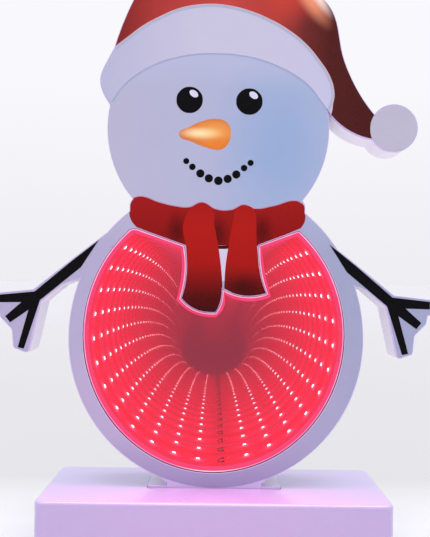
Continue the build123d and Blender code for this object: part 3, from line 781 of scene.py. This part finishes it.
SCARF_BAND = [
    (-49.5, 230), (-54.5, 228.9), (-56.5, 223.3), (-56.8, 218.4), (-55.5, 214.3), (-52.2, 210.2, 0),
    (-22, 199, 0), (27, 199, 0), (54, 210.7, 0), (56.4, 214.8), (56.8, 219.7), (55.1, 226.3),
    (50.9, 228.3), (36.2, 224.8), (23.8, 223), (17.2, 225.4), (9, 222), (-0.9, 222.3), (-10, 226.6),
    (-18.2, 223.4), (-28.1, 224.1), (-38, 226.4),
]
ink("scarf_band", [SCARF_BAND], 0, printed("scarf_band", band_red), clip=True)
SCARF_FOOT = [(-8, 198.3), (2, 197.6), (12, 198.2)]
ink("scarf_foot", [ribbon(SCARF_FOOT, 0.9, 1.2)], 1, flat_print("scarf_foot", srgb(74, 10, 14)))
BAND_TOP = [SCARF_BAND[1], SCARF_BAND[0], *reversed(SCARF_BAND[11:])]
ink("scarf_line", [ribbon(BAND_TOP, 0.1, 0.45)], 1, flat_print("scarf_line", srgb(186, 140, 170)), clip=True)
TAIL_LEFT = [
    (-21.0, 216, 0), (-22.2, 210.2), (-19.9, 197.4), (-19.5, 181.8), (-20.8, 172),
    (-22.8, 164.4, 0), (-14, 157.6), (-0.2, 155.6, 0), (2.4, 161), (3.9, 170.5, 0), (3.4, 178.7),
    (2.0, 190.9), (0.3, 201.4), (-1.9, 212, 0), (-3, 221.6), (-10, 226.0), (-17.5, 222.6),
]
TAIL_RIGHT = [
    (10.5, 216.4, 0), (8.6, 206.8), (7.2, 196.9), (5.7, 185.4), (5.0, 171.2, 0), (16, 166.6),
    (32.4, 168.2, 0), (28.6, 180), (27.1, 188.9), (25.7, 200.4), (25.2, 215.2, 0), (23.6, 222.4),
    (17.2, 224.9), (11.4, 221.6),
]
GAP_AREA = [(-4, 197, 0), (10, 197, 0), (8, 176, 0), (2, 176, 0)]
ink("scarf_gap", [GAP_AREA], 0, flat_print("scarf_gap", srgb(204, 199, 222)), clip=True)
ink("scarf_tail_left", [TAIL_LEFT], 2, printed("scarf_tail_left", tail_red), clip=True)
ink("scarf_tail_right", [TAIL_RIGHT], 2, printed("scarf_tail_right", tail_red), clip=True)

ARM = [
    (74.5, 200.9, 0), (91.5, 187.5, 0), (115.6, 167.2, 0), (139.8, 164.7, 0), (139.8, 159.9, 0),
    (124.1, 160.2, 0), (134.4, 151.0, 0), (131.2, 147.0, 0), (119.5, 155.3, 0), (126.1, 131.0, 0),
    (122.1, 130.2, 0), (112.1, 161.6, 0), (85.9, 183.2, 0),
]
for side, s in (("left", -1), ("right", 1)):
    arm = [(s * x - 1.8, z - 0.6 * s, 0) for x, z, _ in ARM]
    ink(f"arm_{side}", [arm], 1, black)


# ---- surroundings -------------------------------------------------------------------
def floor_pale(nt):
    """White near the object, with painted shade making it pale grey behind it, and a little lighter far away.
    """
    near = mix(nt, along(nt, "Y", 0.04, 0.14), srgb(207, 207, 210), srgb(183, 183, 184))
    far = mix(nt, along(nt, "Y", 0.2, 3.0), near, srgb(190, 189, 193))
    far = mix(nt, along(nt, "Y", -0.5, -3.0), far, srgb(190, 189, 193))
    return fleck(nt, 3.0, far, 0.1, srgb(205, 205, 207))


def floor():
    bpy.ops.mesh.primitive_plane_add(size=60.0, location=(0, 0, 0))
    obj = bpy.context.object
    obj.name = "floor"
    obj.data.materials.append(printed("floor_pale", floor_pale, rough=0.7))
    return obj


floor()


def belly_glow():
    """Red light from the belly on the base and the floor; itself unseen."""
    data = bpy.data.lights.new("belly_glow", "AREA")
    data.shape = "DISK"
    data.size = 0.14
    data.energy = 0.85
    data.color = (1.0, 0.06, 0.30)
    obj = bpy.data.objects.new("belly_glow", data)
    obj.location = (WIN_X, INK_Y - 0.004, WIN_Z)
    aim = Vector((WIN_X, -1.0, WIN_Z - 0.35))
    obj.rotation_euler = (aim - obj.location).to_track_quat("-Z", "Y").to_euler()
    obj.visible_camera = False
    obj.visible_glossy = False
    SCENE.collection.objects.link(obj)


def overhead():
    """Broad soft light from above."""
    data = bpy.data.lights.new("overhead", "SUN")
    data.energy = 2.3
    data.angle = math.radians(44)
    obj = bpy.data.objects.new("overhead", data)
    obj.rotation_euler = (0.04, 0.05, 0)
    SCENE.collection.objects.link(obj)


overhead()
belly_glow()


def sky():
    """Pale studio surround, a little darker towards the horizon."""
    world = bpy.data.worlds.new("studio")
    SCENE.world = world
    world.use_nodes = True
    nt = world.node_tree
    sep = nt.nodes.new("ShaderNodeSeparateXYZ")
    link(nt, nt.nodes.new("ShaderNodeTexCoord").outputs["Generated"], sep.inputs[0])
    up = nt.nodes.new("ShaderNodeMapRange")
    up.inputs["From Min"].default_value = -0.02
    up.inputs["From Max"].default_value = 0.30
    link(nt, sep.outputs["Z"], up.inputs["Value"])
    col = ramp(nt, up.outputs["Result"], [
        (0.0, srgb(238, 238, 241)), (0.35, srgb(241, 240, 245)), (1.0, srgb(249, 248, 253))])
    link(nt, col, nt.nodes["Background"].inputs["Color"])
    nt.nodes["Background"].inputs["Strength"].default_value = 1.0


sky()


def camera():
    data = bpy.data.cameras.new("camera")
    data.lens = 40.2
    data.sensor_width = 36.0
    data.shift_y = 0.0214
    data.clip_start = 0.01
    obj = bpy.data.objects.new("camera", data)
    obj.location = (-0.0010, -0.395, 0.1766)
    obj.rotation_euler = (math.radians(90), math.radians(-0.7), 0)
    SCENE.collection.objects.link(obj)
    SCENE.camera = obj


camera()
SCENE.view_settings.view_transform = "Standard"
SCENE.cycles.max_bounces = 44
SCENE.cycles.glossy_bounces = 44
SCENE.cycles.transparent_max_bounces = 16
SCENE.cycles.min_light_bounces = 0
